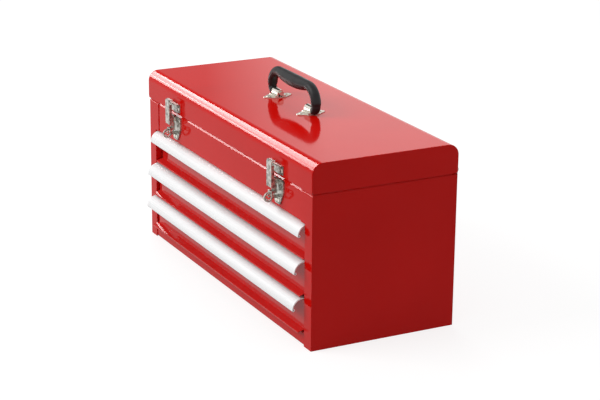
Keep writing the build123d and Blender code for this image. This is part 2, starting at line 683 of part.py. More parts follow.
def latch_lever(centre):
    """Channel lever on the lever pin: web and two walls, and a forked finger tab below."""
    front = APRON_FACE - LEVER_FRONT_OUT
    pin_y = APRON_FACE - LEVER_PIN_OUT
    hook_y = APRON_FACE - HOOK_PIN_OUT
    neck_y = hook_y + LEVER_NECK_IN
    web_y = pin_y - EAR_RADIUS
    web_bottom = HOOK_PIN_HEIGHT - LEVER_WEB_DROP
    inner = hook_y + HOOK_PIN_OUT / 2
    wall = polygon(
        [
            (web_y, LEVER_PIN_HEIGHT),
            (web_y, web_bottom),
            (neck_y, HOOK_PIN_HEIGHT - LEVER_NECK),
            (neck_y, FINGER_TOP),
            (front, FINGER_TOP),
            (front, FINGER_TOP - EAR_RADIUS),
            (inner, FINGER_TOP - EAR_RADIUS),
            (inner, HOOK_PIN_HEIGHT),
            (pin_y + EAR_RADIUS, LEVER_PIN_HEIGHT),
        ]
    )
    wall += Pos(pin_y, LEVER_PIN_HEIGHT) * Circle(EAR_RADIUS)
    half = LEVER_HALF_WIDTH
    lever = along_x(wall, half - LEVER_SHEET, half) + along_x(wall, -half, -half + LEVER_SHEET)
    lever += block((-half, half), (web_y, web_y + LEVER_SHEET), (web_bottom, LEVER_PIN_HEIGHT))
    tab_bottom = FINGER_TOP - FINGER_HEIGHT
    tab_line = [(front, FINGER_TOP), (front, tab_bottom), (front - FINGER_CURL, tab_bottom - FINGER_DROOP)]
    tab = folded(tab_line, LEVER_SHEET, 1.5 * LEVER_SHEET)
    lever += along_x(tab, -FINGER_HALF_WIDTH, FINGER_HALF_WIDTH)
    reach = FINGER_HALF_WIDTH + LEVER_SHEET
    for y, z in ((pin_y, LEVER_PIN_HEIGHT), (hook_y, HOOK_PIN_HEIGHT)):
        lever -= rod_x(LATCH_PIN_RADIUS + RUNNING_FIT, y, z, -reach, reach)
    slot_half = EYE_THICKNESS / 2 + SLOT_SIDE_GAP
    slot_depth = (front - 2 * FINGER_CURL, front + 2 * LEVER_SHEET)
    lever -= block((-slot_half, slot_half), slot_depth, (tab_bottom - FINGER_CURL, SLOT_TOP))
    return Pos(centre, 0, 0) * lever


def hook_inner():
    return LEVER_HALF_WIDTH + 2 * LATCH_SIDE_GAP + EAR_SHEET


def draw_hook(centre):
    """Channel hook on the lever: plate in front, walls to its pin, and a curl over the catch."""
    front = APRON_FACE - HOOK_FRONT_OUT
    inner = hook_inner()
    outer = inner + HOOK_SHEET
    curl_end = LID_FRONT - CATCH_LIP_OUT - HOOK_CATCH_GAP
    low = HOOK_PIN_HEIGHT - HOOK_BELOW_PIN
    plate_line = [(front, low), (front, HOOK_TOP), (curl_end, HOOK_TOP)]
    plate = folded(plate_line, HOOK_SHEET, HOOK_CURL_RADIUS, Side.RIGHT)
    hook = along_x(plate, -outer, outer)
    pin_y = APRON_FACE - HOOK_PIN_OUT
    ear_radius = 2 * LATCH_PIN_RADIUS
    wall_top = HOOK_TOP - HOOK_SIDE_TOP_DROP
    wall = polygon(
        [
            (front, wall_top),
            (front, low),
            (pin_y, HOOK_PIN_HEIGHT - ear_radius),
            (pin_y + ear_radius, HOOK_PIN_HEIGHT),
            (front + HOOK_SIDE_DEPTH, HOOK_PIN_HEIGHT + 3 * ear_radius),
            (front + HOOK_SIDE_DEPTH, wall_top),
        ]
    )
    wall += Pos(pin_y, HOOK_PIN_HEIGHT) * Circle(ear_radius)
    hook += along_x(wall, inner, outer) + along_x(wall, -outer, -inner)
    hook -= rod_x(LATCH_PIN_RADIUS + RUNNING_FIT, pin_y, HOOK_PIN_HEIGHT, -outer, outer)
    return Pos(centre, 0, 0) * hook


def lid_catch(centre):
    """Riveted plate on the lid with its upper edge bent outwards."""
    low, high = BODY_HEIGHT + CATCH_BOTTOM, BODY_HEIGHT + CATCH_TOP
    line = [(LID_FRONT, low), (LID_FRONT, high), (LID_FRONT - CATCH_LIP_OUT, high)]
    section = folded(line, CATCH_SHEET, CATCH_BEND_RADIUS)
    plate = along_x(section, centre - CATCH_HALF_WIDTH, centre + CATCH_HALF_WIDTH)
    for x, z in catch_rivet_places():
        plate -= hole_y(LATCH_RIVET_RADIUS, x, z, LID_FRONT - 2 * CATCH_SHEET, LID_FRONT)
    return plate


def catch_rivets():
    face = LID_FRONT - CATCH_SHEET
    grip = CATCH_SHEET + SHEET
    return [rivet_y(LATCH_RIVET_RADIUS, x, face, z, grip, 1) for x, z in catch_rivet_places()]


# ---- handle ----
def handle_rivet_places():
    across = HANDLE_RIVET_SPACING / 2
    return [(side * PLATE_CENTRE, end * across) for _, side in SIDES for end in (-1, 1)]


def handle_plate(side):
    """Lozenge-shaped plate on the lid under the strap."""
    half = PLATE_LENGTH / 2
    wide = PLATE_WIDTH / 2
    flat = STRAP_WIDTH / 2
    tip = PLATE_TIP_HALF
    right = [(tip, half), (wide, flat), (wide, -flat), (tip, -half)]
    left = [(-tip, -half), (-wide, -flat), (-wide, flat), (-tip, half)]
    outline = fillet(polygon(right + left).vertices(), PLATE_CORNER_RADIUS)
    plate = extrude(Pos(side * PLATE_CENTRE, 0, LID_TOP) * outline, amount=PLATE_SHEET)
    for x, y in handle_rivet_places():
        plate -= Pos(x, y, LID_TOP) * Cylinder(HANDLE_RIVET_RADIUS, 4 * PLATE_SHEET)
    return plate


def handle_strap(side):
    """Saddle over the rod, welded to the plate by its feet."""
    bore = ROD_RADIUS + RUNNING_FIT
    outer = bore + STRAP_SHEET
    foot = LID_TOP + PLATE_SHEET
    reach = outer + STRAP_FOOT
    feet_top = foot + STRAP_SHEET
    section = Pos(0, HANDLE_AXIS_Z) * Circle(outer)
    section += polygon([(-outer, foot), (-outer, HANDLE_AXIS_Z), (outer, HANDLE_AXIS_Z), (outer, foot)])
    section += polygon([(-reach, foot), (-reach, feet_top), (reach, feet_top), (reach, foot)])
    section -= Pos(0, HANDLE_AXIS_Z) * Circle(bore)
    section -= polygon([(-bore, foot), (-bore, HANDLE_AXIS_Z), (bore, HANDLE_AXIS_Z), (bore, foot)])
    low, high = sorted((side * STRAP_INNER, side * STRAP_OUTER))
    return along_x(section, low, high)


def handle_rivets():
    rivet = Rot(-90, 0, 0) * rivet_y(HANDLE_RIVET_RADIUS, 0, 0, 0, PLATE_SHEET + SHEET, 1)
    return [Pos(x, y, LID_TOP + PLATE_SHEET) * rivet for x, y in handle_rivet_places()]


def leg_points():
    """The right leg's centre line: its shoulder under the top bar, and its foot on the pivot's axis."""
    shoulder_z = LID_TOP + HANDLE_TOP_RISE - GRIP_LEG_RADIUS
    foot = STRAP_OUTER + HANDLE_LEG_OUT
    return (foot - HANDLE_LEAN, shoulder_z), (foot, HANDLE_AXIS_Z)


def straight_leg():
    """Heights above the pivot's axis between which the legs are straight."""
    (top_x, top_z), (foot_x, foot_z) = leg_points()
    turn = atan2(top_z - foot_z, foot_x - top_x)
    low = ROD_BEND * tan((pi - turn) / 2) * sin(turn)
    high = top_z - foot_z - GRIP_BEND * tan(turn / 2) * sin(turn)
    return low, high


def leg_place(height):
    """A plane across the right leg, at a height above the pivot's axis."""
    (top_x, top_z), (foot_x, foot_z) = leg_points()
    slope = (top_x - foot_x) / (top_z - foot_z)
    centre = (foot_x + height * slope, 0, foot_z + height)
    return Plane(origin=centre, x_dir=(0, 1, 0), z_dir=(slope, 0, 1))


def handle_tube(radius):
    """A tube along the whole bail, from one inner end round to the other."""
    end = STRAP_INNER - ROD_PROUD
    right = [*leg_points(), (end, HANDLE_AXIS_Z)]
    left = [(-x, z) for x, z in reversed(right)]
    line = FilletPolyline(*left, *right, radius=[ROD_BEND, GRIP_BEND, GRIP_BEND, ROD_BEND])
    section = Plane(origin=(-end, 0, HANDLE_AXIS_Z), z_dir=(-1, 0, 0)) * Circle(radius)
    return sweep(section, path=Plane.XZ * line)


def taper_end():
    low, high = straight_leg()
    return low + GRIP_TAPER * (high - low)


def grip_arch():
    """The thick part of the grip: up one leg, across the top and down the other."""
    start = leg_place(taper_end())
    right = [(start.origin.X, start.origin.Z), leg_points()[0]]
    left = [(-x, z) for x, z in reversed(right)]
    line = FilletPolyline(*right, *left, radius=GRIP_BEND)
    return sweep(start * Circle(GRIP_LEG_RADIUS), path=Plane.XZ * line)


def handle_grip():
    """Moulded grip: a tube round the bail, thinner at its feet, that swells downwards in the middle."""
    tube = handle_tube(GRIP_FOOT_RADIUS)
    inner = STRAP_OUTER + GRIP_END_GAP
    tube -= block((-inner, inner), (-HALF_DEPTH, HALF_DEPTH), (0, HANDLE_AXIS_Z + 1.2 * GRIP_FOOT_RADIUS))
    foot = leg_place(straight_leg()[0]) * Circle(GRIP_FOOT_RADIUS)
    taper = loft([foot, leg_place(taper_end()) * Circle(GRIP_LEG_RADIUS)])
    top = LID_TOP + HANDLE_TOP_RISE
    sections = []
    for number in range(GRIP_SECTIONS):
        share = 2 * number / (GRIP_SECTIONS - 1) - 1
        radius = GRIP_MID_RADIUS - (GRIP_MID_RADIUS - GRIP_LEG_RADIUS) * share**2
        place = Plane(origin=(share * GRIP_BULGE_HALF, 0, top - radius), z_dir=(1, 0, 0))
        sections.append(place * Circle(radius))
    whole = tube + taper + mirror(taper, about=Plane.YZ) + grip_arch() + loft(sections)
    return whole - handle_tube(ROD_RADIUS)


# ---- all pieces ----
def all_pieces():
    outer_skin = body_skin(0)
    pieces = {
        "apron_panel": apron_panel(body_skin(1)),
        "bottom_rail": bottom_rail(),
        "bottom_panel": bottom_panel(),
        "back_panel": back_panel(),
        "till_floor": till_floor(),
        "uprights_front": uprights(SLIDE_START + UPRIGHT_INSET),
        "uprights_rear": uprights(SLIDE_START + SLIDE_LENGTH - UPRIGHT_INSET - 1.5 * UPRIGHT_WIDTH),
        "hinge_leaf_body": hinge_leaf(0, -1, body_leaf_rivet_z()),
        "hinge_leaf_lid": hinge_leaf(1, 1, lid_leaf_rivet_z()),
        "hinge_pin": hinge_pin(),
        "hinge_rivets_body": hinge_rivets(body_leaf_rivet_z()),
        "hinge_rivets_lid": hinge_rivets(lid_leaf_rivet_z()),
        "lid_sheet": lid_sheet(),
        "latch_rivets": latch_rivets(),
        "catch_rivets": catch_rivets(),
        "handle_rivets": handle_rivets(),
        "handle_bail": handle_tube(ROD_RADIUS),
        "handle_grip": handle_grip(),
    }
    ear_reach = LEVER_HALF_WIDTH + LATCH_SIDE_GAP + EAR_SHEET
    hook_reach = hook_inner() + HOOK_SHEET + HOOK_SHEET / 2
    for (name, side), centre in zip(SIDES, LATCH_CENTRES):
        pieces[f"side_panel_{name}"] = side_panel(side, outer_skin)
        pieces[f"lid_end_{name}"] = lid_end(side)
        pieces[f"handle_plate_{name}"] = handle_plate(side)
        pieces[f"handle_strap_{name}"] = handle_strap(side)
        pieces[f"latch_base_{name}"] = latch_base(centre)
        pieces[f"padlock_eye_{name}"] = padlock_eye(centre)
        pieces[f"latch_lever_{name}"] = latch_lever(centre)
        pieces[f"lever_pin_{name}"] = latch_pin(centre, LEVER_PIN_OUT, LEVER_PIN_HEIGHT, ear_reach)
        pieces[f"draw_hook_{name}"] = draw_hook(centre)
        pieces[f"hook_pin_{name}"] = latch_pin(centre, HOOK_PIN_OUT, HOOK_PIN_HEIGHT, hook_reach)
        pieces[f"lid_catch_{name}"] = lid_catch(centre)
    for number in range(1, DRAWER_COUNT + 1):
        pieces[f"drawer_{number}_front"] = drawer_front(number)
        pieces[f"drawer_{number}_pull"] = drawer_pull(number)
        pieces[f"drawer_{number}_tray"] = drawer_tray(number)
        pieces[f"drawer_{number}_runners"] = moving_slide(number)
        pieces[f"slide_{number}_fixed"] = fixed_slide(number)
        pieces[f"slide_{number}_ball_cages"] = ball_cage(number)
    return pieces


os.makedirs("parts", exist_ok=True)
for node, piece in all_pieces().items():
    shape = Compound(children=piece) if isinstance(piece, list) else piece
    export_step(shape, f"parts/{node}.step")
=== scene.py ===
"""Portable steel tool box with three drawers, a lidded till, two draw latches and a folding handle."""

import math

import bmesh
import bpy
from mathutils import Matrix, Vector


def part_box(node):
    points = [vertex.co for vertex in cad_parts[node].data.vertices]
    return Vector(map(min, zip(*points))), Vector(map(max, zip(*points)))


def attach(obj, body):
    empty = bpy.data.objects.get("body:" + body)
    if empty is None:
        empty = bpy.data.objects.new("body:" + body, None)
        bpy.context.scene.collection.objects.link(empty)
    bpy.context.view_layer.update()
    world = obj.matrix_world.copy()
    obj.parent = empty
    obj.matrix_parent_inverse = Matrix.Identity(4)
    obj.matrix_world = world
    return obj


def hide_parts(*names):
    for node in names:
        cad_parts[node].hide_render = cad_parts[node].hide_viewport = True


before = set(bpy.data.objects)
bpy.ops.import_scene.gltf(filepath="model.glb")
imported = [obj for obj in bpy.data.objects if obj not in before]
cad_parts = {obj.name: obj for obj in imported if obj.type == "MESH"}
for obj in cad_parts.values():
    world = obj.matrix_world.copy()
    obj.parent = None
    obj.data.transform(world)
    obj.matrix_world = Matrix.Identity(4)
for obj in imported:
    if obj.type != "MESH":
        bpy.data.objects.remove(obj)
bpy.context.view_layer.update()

# ---- cabinet panels ----
# Cold-rolled steel sheet 1 mm thick, sheared, folded and spot-welded, then coated inside and out
# with gloss red enamel. Side panels wrap round to the front and back; the rest laps behind them.

ENAMEL_RED = (0.69, 0.0050, 0.0030, 1)
ENAMEL_DEEP = (0.63, 0.0040, 0.0020, 1)
ENAMEL_GLOSS = 0.08
WAVE_DEPTH = 0.000015
PEEL_DEPTH = 0.000002
FOLD_RADIUS = 0.0012
FOLD_ANGLES = (40, 180)  # degrees that a fold turns by
SHOULDER_RADIUS = 0.0003
SHOULDER_ANGLES = (25, 40)
CUT_EDGE = 0.00025
NARROW = 0.0025  # the edges of faces thinner than this stay sharp
SAME_PLACE = 1e-6
SAME_PLANE = 0.5  # degrees


def surface(name, metallic, roughness):
    material = bpy.data.materials.new(name)
    material.use_nodes = True
    shader = material.node_tree.nodes["Principled BSDF"]
    shader.inputs["Metallic"].default_value = metallic
    shader.inputs["Roughness"].default_value = roughness
    return material


def node(material, kind, **values):
    """A node of a material or the world, with settings (plain names) and sockets (Title names)."""
    made = material.node_tree.nodes.new(kind)
    for key, value in values.items():
        if key[0].isupper():
            made.inputs[key.replace("_", " ")].default_value = value
        else:
            setattr(made, key, value)
    return made


def link(material, source, target):
    material.node_tree.links.new(source, target)


def noise(material, scale, detail, stretch=(1, 1, 1)):
    """Noise on Object coordinates, in cells per metre, stretched along the axes."""
    place = node(material, "ShaderNodeTexCoord")
    mapping = node(material, "ShaderNodeMapping", Scale=stretch)
    texture = node(material, "ShaderNodeTexNoise", Scale=scale, Detail=detail)
    link(material, place.outputs["Object"], mapping.inputs["Vector"])
    link(material, mapping.outputs["Vector"], texture.inputs["Vector"])
    return texture.outputs["Fac"]


def graded(material, value, low, high, start=0.35, end=0.65):
    """Two colours or greys, blended by a value."""
    ramp = node(material, "ShaderNodeValToRGB")
    ramp.color_ramp.elements[0].position = start
    ramp.color_ramp.elements[1].position = end
    ramp.color_ramp.elements[0].color = low
    ramp.color_ramp.elements[1].color = high
    link(material, value, ramp.inputs["Fac"])
    return ramp.outputs["Color"]


def grey(level):
    return (level, level, level, 1)


def bumped(material, *layers):
    """Bump layers (height, distance in metres) stacked onto the shader's normal."""
    shader = material.node_tree.nodes["Principled BSDF"]
    normal = None
    for height, distance in layers:
        bump = node(material, "ShaderNodeBump", Strength=1.0, Distance=distance)
        link(material, height, bump.inputs["Height"])
        if normal:
            link(material, normal, bump.inputs["Normal"])
        normal = bump.outputs["Normal"]
    link(material, normal, shader.inputs["Normal"])


def red_enamel(name, deep, light, gloss):
    """Sprayed enamel: even red, faint orange peel, and the slow waves of thin sheet under it."""
    material = surface(name, 0.0, 0.06)
    shader = material.node_tree.nodes["Principled BSDF"]
    shader.inputs["Specular IOR Level"].default_value = gloss
    tone = graded(material, noise(material, 9, 3), deep, light, 0.2, 0.7)
    link(material, tone, shader.inputs["Base Color"])
    haze = graded(material, noise(material, 22, 4), grey(0.05), grey(0.09))
    link(material, haze, shader.inputs["Roughness"])
    waves = noise(material, 14, 1)
    peel = noise(material, 520, 1)
    bumped(material, (waves, WAVE_DEPTH), (peel, PEEL_DEPTH))
    return material


ENAMEL = red_enamel("red_enamel", ENAMEL_DEEP, ENAMEL_RED, ENAMEL_GLOSS)
ENAMELLED = bpy.data.collections.new("enamelled")  # the pieces in which the softboxes show


def keep(bm, name, material, body, cad_node):
    """Makes the finished mesh a piece of the tool box that stands for a CAD node."""
    mesh = bpy.data.meshes.new(name)
    bm.to_mesh(mesh)
    bm.free()
    for face in mesh.polygons:
        face.use_smooth = True
    mesh.materials.append(material)
    piece = bpy.data.objects.new(name, mesh)
    bpy.context.scene.collection.objects.link(piece)
    if material == ENAMEL:
        ENAMELLED.objects.link(piece)
    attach(piece, body)
    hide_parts(cad_node)
    return piece


def soften(piece, width, segments=2, angle=50):
    """Breaks the sharp edges of a piece and keeps its flat faces flat in the light."""
    edge = piece.modifiers.new("edges", "BEVEL")
    edge.limit_method = "ANGLE"
    edge.angle_limit = math.radians(angle)
    edge.width = width
    edge.segments = segments
    edge.use_clamp_overlap = True
    piece.modifiers.new("flats", "WEIGHTED_NORMAL")


def face_width(face):
    return face.calc_area() / max(edge.calc_length() for edge in face.edges)


def merged_copy(name):
    """A CAD node's mesh with its loose triangles joined and its flat faces whole."""
    bm = bmesh.new()
    bm.from_mesh(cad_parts[name].data)
    bmesh.ops.remove_doubles(bm, verts=bm.verts, dist=SAME_PLACE)
    flat = math.radians(SAME_PLANE)
    bmesh.ops.dissolve_limit(bm, angle_limit=flat, verts=bm.verts, edges=bm.edges)
    return bm


def bend(bm, least, most, radius, segments):
    """Rolls the edges whose faces turn by an angle (degrees, outwards positive) to a small radius."""
    folds = [
        edge for edge in bm.edges
        if len(edge.link_faces) == 2
        and math.radians(least) < edge.calc_face_angle_signed() < math.radians(most)
        and min(face_width(face) for face in edge.link_faces) > NARROW
    ]
    bmesh.ops.bevel(
        bm, geom=folds, offset=radius, offset_type="OFFSET", segments=segments, profile=0.5,
        affect="EDGES", material=-1, clamp_overlap=True,
    )


def folded_copy(name):
    """The merged copy, with a bend radius on each outer fold and a crisp one along the shoulder."""
    bm = merged_copy(name)
    least, most = SHOULDER_ANGLES
    bend(bm, *FOLD_ANGLES, FOLD_RADIUS, segments=4)
    bend(bm, least, most, SHOULDER_RADIUS, segments=2)
    bend(bm, -most, -least, SHOULDER_RADIUS, segments=2)
    return bm


PANELS = (
    "side_panel_left", "side_panel_right", "apron_panel", "bottom_rail", "bottom_panel", "back_panel",
    "till_floor", "uprights_front", "uprights_rear",
)
for name in PANELS:
    panel = keep(folded_copy(name), f"{name}_sheet", ENAMEL, "cabinet", name)
    soften(panel, CUT_EDGE)

# ---- lid ----
# One wrap of the same sheet makes the front, top and back, rolled to a large radius along both long
# edges. Pressed end plates are flanged inwards and welded in, which leaves a fine seam round each end.

LID_ROUND = 0.015
GAUGE = 0.001
INWARDS = -1
END_EDGE = 0.0006


def profile_sheet(points, x_low, x_high, radii):
    """A strip through points in (Y, Z) from x_low to x_high, each inner corner rolled to its radius."""
    bm = bmesh.new()
    line = [bm.verts.new((x_low, y, z)) for y, z in points]
    runs = [bm.edges.new(pair) for pair in zip(line, line[1:])]
    made = bmesh.ops.extrude_edge_only(bm, edges=runs)["geom"]
    moved = [item for item in made if isinstance(item, bmesh.types.BMVert)]
    bmesh.ops.translate(bm, verts=moved, vec=(x_high - x_low, 0, 0))
    corners = {}
    for edge in bm.edges:
        if len(edge.link_faces) == 2:
            middle = (edge.verts[0].co + edge.verts[1].co) / 2
            spot = min(range(len(points)), key=lambda n: (Vector(points[n]) - middle.yz).length)
            corners[spot] = edge
    for spot, radius in zip(range(1, len(points) - 1), radii):
        before, here, after = (Vector(points[spot + step]) for step in (-1, 0, 1))
        turn = (here - before).angle(after - here)
        bmesh.ops.bevel(
            bm, geom=[corners[spot]], offset=radius * math.tan(turn / 2), offset_type="OFFSET",
            segments=max(4, round(turn * 10)), profile=0.5, affect="EDGES", material=-1,
        )
    return bm


def thicken(piece, gauge, side):
    """Gives a sheet its wall, on the outer side of its faces (1) or the inner one (-1)."""
    wall = piece.modifiers.new("gauge", "SOLIDIFY")
    wall.thickness = gauge
    wall.offset = side
    wall.use_even_offset = True


low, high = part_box("lid_sheet")
wrap = [(low.y, low.z), (low.y, high.z), (high.y, high.z), (high.y, low.z)]
sheet = profile_sheet(wrap, low.x, high.x, (LID_ROUND, LID_ROUND))
lid = keep(sheet, "lid_wrap", ENAMEL, "lid", "lid_sheet")
thicken(lid, GAUGE, INWARDS)
soften(lid, CUT_EDGE)
for side in ("left", "right"):
    name = f"lid_end_{side}"
    end = keep(merged_copy(name), f"{name}_plate", ENAMEL, "lid", name)
    soften(end, END_EDGE, segments=3, angle=60)

# ---- drawers ----
# Each drawer is a red enamelled tray with hemmed walls behind a folded front: a strip under the pull,
# a recessed face, and a ledge that slopes out below. The front is spot-welded to the tray. Their coat
# is a little milkier than the cabinet's and takes more shine.

DRAWER_RED = (0.66, 0.020, 0.018, 1)
DRAWER_DEEP = (0.60, 0.016, 0.014, 1)
DRAWER_GLOSS = 0.2
DRAWER_ENAMEL = red_enamel("drawer_enamel", DRAWER_DEEP, DRAWER_RED, DRAWER_GLOSS)

for number in (1, 2, 3):
    body = f"drawer_{number}"
    for part in ("front", "tray"):
        name = f"{body}_{part}"
        piece = keep(folded_copy(name), f"{name}_sheet", DRAWER_ENAMEL, body, name)
        soften(piece, CUT_EDGE)

# ---- pulls ----
# Extruded aluminium, satin-anodised: a flat strip on the front's top fold, a quarter round that turns
# down in front of the fingers, and a bored bead along its lip. Sawn to length, so the ends show this.

ALUMINIUM = (0.91, 0.915, 0.92, 1)
ALUMINIUM_SHADE = (0.85, 0.855, 0.86, 1)
DRAW_LINES = (0.004, 1, 1)
DRAWN_GRAIN = (0.01, 1, 1)
LINE_DEPTH = 0.000012
SAWN_EDGE = 0.0002


def satin_aluminium():
    """Anodised extrusion: fine draw lines along its length over a satin grain."""
    material = surface("satin_aluminium", 0.3, 0.5)
    shader = material.node_tree.nodes["Principled BSDF"]
    lines = noise(material, 900, 3, DRAW_LINES)
    tone = graded(material, lines, ALUMINIUM_SHADE, ALUMINIUM)
    link(material, tone, shader.inputs["Base Color"])
    rough = graded(material, noise(material, 700, 2, DRAWN_GRAIN), grey(0.46), grey(0.58))
    link(material, rough, shader.inputs["Roughness"])
    bumped(material, (lines, LINE_DEPTH))
    return material


SATIN = satin_aluminium()
for number in (1, 2, 3):
    body = f"drawer_{number}"
    name = f"{body}_pull"
    pull = keep(merged_copy(name), f"{name}_extrusion", SATIN, body, name)
    soften(pull, SAWN_EDGE)

# ---- slides and hinge ----
# Roll-formed steel slide members with balls in a punched cage, and a rear piano hinge with its pin
# and rivets, all bright zinc-plated with the faint blue and yellow of the chromate.

ZINC_BLUE = (0.60, 0.62, 0.66, 1)
ZINC_STRAW = (0.67, 0.65, 0.58, 1)
ZINC_GRAIN_DEPTH = 0.00001


def zinc_plate():
    material = surface("zinc_plate", 1.0, 0.34)
    shader = material.node_tree.nodes["Principled BSDF"]
    tone = graded(material, noise(material, 60, 4), ZINC_BLUE, ZINC_STRAW)
    link(material, tone, shader.inputs["Base Color"])
    rough = graded(material, noise(material, 150, 3), grey(0.28), grey(0.42))
    link(material, rough, shader.inputs["Roughness"])
    bumped(material, (noise(material, 1200, 2), ZINC_GRAIN_DEPTH))
    return material


ZINC = zinc_plate()
HINGE = ("hinge_leaf_body", "hinge_leaf_lid", "hinge_pin", "hinge_rivets_body", "hinge_rivets_lid")
SLIDES = [f"drawer_{n}_runners" for n in (1, 2, 3)]
SLIDES += [f"slide_{n}_{part}" for n in (1, 2, 3) for part in ("fixed", "ball_cages")]
for name in (*HINGE, *SLIDES):
    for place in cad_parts[name].material_slots:
        place.material = ZINC

# ---- latches, catches and handle fittings ----
# Stamped steel, bright nickel over copper, tumbled so the edges are soft: latch bases with a raised
# rim, padlock eyes, levers, draw hooks and their pins, catches, lozenge plates, straps and the bail.

NICKEL = (0.80, 0.77, 0.69, 1)
NICKEL_SHADE = (0.62, 0.59, 0.52, 1)
# The latches take a darker copy of the same nickel, its dark cloud far darker still: painted shade for
# the dark surroundings their faces reflect.
LATCH_NICKEL_IN_PAINTED_SHADE = (0.66, 0.64, 0.58, 1)
LATCH_DEEP_PAINTED_SHADE = (0.20, 0.19, 0.17, 1)
LATCH_METALLIC = 0.72
DENT_DEPTH = 0.00003
TUMBLED_EDGE = 0.0002


def nickel(name, metallic, shade, light):
    """Plating over stamped steel: cloudy where the tumbling left it, with fine dents in the gloss. The
    darker pair of tones given for the latches is painted shade.
    """
    material = surface(name, metallic, 0.2)
    shader = material.node_tree.nodes["Principled BSDF"]
    tone = graded(material, noise(material, 240, 4), shade, light)
    link(material, tone, shader.inputs["Base Color"])
    rough = graded(material, noise(material, 420, 3), grey(0.14), grey(0.30))
    link(material, rough, shader.inputs["Roughness"])
    bumped(material, (noise(material, 650, 2), DENT_DEPTH))
    return material


BRIGHT = nickel("bright_nickel", 1.0, NICKEL_SHADE, NICKEL)
# Latch plating with painted shade: the nickel darkened, deepest in its dark cloud.
LATCH_PLATING_IN_PAINTED_SHADE = nickel("latch_nickel", LATCH_METALLIC, LATCH_DEEP_PAINTED_SHADE, LATCH_NICKEL_IN_PAINTED_SHADE)
RIB_HEIGHTS = (0.206, 0.214)
RIB = (0.0085, 0.0010, 0.0018)


def stamp_ribs(bm, x, front):
    """Two short ribs pressed across the hook's plate, which stiffen it."""
    for height in RIB_HEIGHTS:
        rib = bmesh.ops.create_uvsphere(bm, u_segments=24, v_segments=12, radius=0.5)["verts"]
        bmesh.ops.scale(bm, verts=rib, vec=RIB)
        bmesh.ops.translate(bm, verts=rib, vec=(x, front, height))


LATCH_BODIES = {
    "latch_base": "cabinet", "padlock_eye": "cabinet", "lever_pin": "cabinet",
    "latch_lever": "latch_{side}", "hook_pin": "latch_{side}", "draw_hook": "hook_{side}",
    "lid_catch": "lid", "handle_plate": "lid", "handle_strap": "lid",
}
for side in ("left", "right"):
    for part, body in LATCH_BODIES.items():
        name = f"{part}_{side}"
        # Latch parts get the plating with painted shade, the handle fittings the bright nickel.
        plating = BRIGHT if part.startswith("handle") else LATCH_PLATING_IN_PAINTED_SHADE
        pressing = merged_copy(name)
        if part == "draw_hook":
            low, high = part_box(name)
            stamp_ribs(pressing, (low.x + high.x) / 2, low.y)
        rides = body.format(side=side)
        stamped = keep(pressing, f"{name}_plated", plating, rides, name)
        soften(stamped, TUMBLED_EDGE, angle=40)
for name in ("latch_rivets", "catch_rivets", "handle_rivets", "handle_bail"):
    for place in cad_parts[name].material_slots:
        place.material = BRIGHT

# ---- handle grip ----
# Soft black vinyl moulded over the steel bail, thicker in the middle for the fingers, with a matt
# skin that has gone slightly shiny where it is held.

VINYL = (0.010, 0.010, 0.011, 1)
VINYL_WORN = (0.018, 0.018, 0.019, 1)
VINYL_GLOSS = 0.25
VINYL_GRAIN_DEPTH = 0.00003
GRIP_EDGE = 0.0006
SEAM = 1e-5


def black_vinyl():
    material = surface("black_vinyl", 0.0, 0.38)
    shader = material.node_tree.nodes["Principled BSDF"]
    shader.inputs["Specular IOR Level"].default_value = VINYL_GLOSS
    tone = graded(material, noise(material, 90, 3), VINYL, VINYL_WORN)
    link(material, tone, shader.inputs["Base Color"])
    rough = graded(material, noise(material, 60, 3), grey(0.32), grey(0.46))
    link(material, rough, shader.inputs["Roughness"])
    bumped(material, (noise(material, 1500, 2), VINYL_GRAIN_DEPTH))
    return material


def even_grip():
    """The moulding's left half and its mirror image, so that both feet reach down to their straps."""
    bm = merged_copy("handle_grip")
    whole = bm.verts[:] + bm.edges[:] + bm.faces[:]
    bmesh.ops.bisect_plane(
        bm, geom=whole, dist=SAME_PLACE, plane_co=(0, 0, 0), plane_no=(1, 0, 0), clear_outer=True,
    )
    half = bm.verts[:] + bm.edges[:] + bm.faces[:]
    bmesh.ops.mirror(bm, geom=half, matrix=Matrix.Identity(4), merge_dist=SEAM, axis="X")
    bmesh.ops.remove_doubles(bm, verts=bm.verts, dist=SAME_PLACE)
    bmesh.ops.recalc_face_normals(bm, faces=bm.faces)
    return bm


grip = keep(even_grip(), "grip_moulding", black_vinyl(), "handle", "handle_grip")
soften(grip, GRIP_EDGE, angle=60)

# ---- floor, light and camera ----
# A plain white studio sweep under a soft sky, with a broad lamp in front and a small one at the left.
# Softboxes far left show only in the gloss of the cabinet and lid: they draw the white lines along the
# lid's rounded and lower edges, and a dark flag beside them keeps the lid's front deep.

CAMERA_PLACE = (2.22308, -1.14027, 0.93140)
CAMERA_AZIMUTH = 62.62
CAMERA_ELEVATION = 18.14
CAMERA_ROLL = 0.549
CAMERA_LENS = 112.36
SKY = 0.60
SEEN_FLOOR = 0.78
FLOOR_PAINT = 0.30
FLOOR_SIZE = 12
SENSOR_WIDTH = 36


def seen_directly(material):
    """1 for rays from the camera, from gloss and through glass, and 0 for the light on things."""
    rays = node(material, "ShaderNodeLightPath")
    most = rays.outputs["Is Camera Ray"]
    for kind in ("Is Glossy Ray", "Is Transmission Ray"):
        pick = node(material, "ShaderNodeMath", operation="MAXIMUM")
        link(material, most, pick.inputs[0])
        link(material, rays.outputs[kind], pick.inputs[1])
        most = pick.outputs["Value"]
    return most


world = bpy.data.worlds.new("white_sky")
world.use_nodes = True
bpy.context.scene.world = world
sky = world.node_tree.nodes["Background"]
sky.inputs["Color"].default_value = (1, 1, 1, 1)
level = node(world, "ShaderNodeMapRange", To_Min=SKY, To_Max=1.0)
link(world, seen_directly(world), level.inputs["Value"])
link(world, level.outputs["Result"], sky.inputs["Strength"])

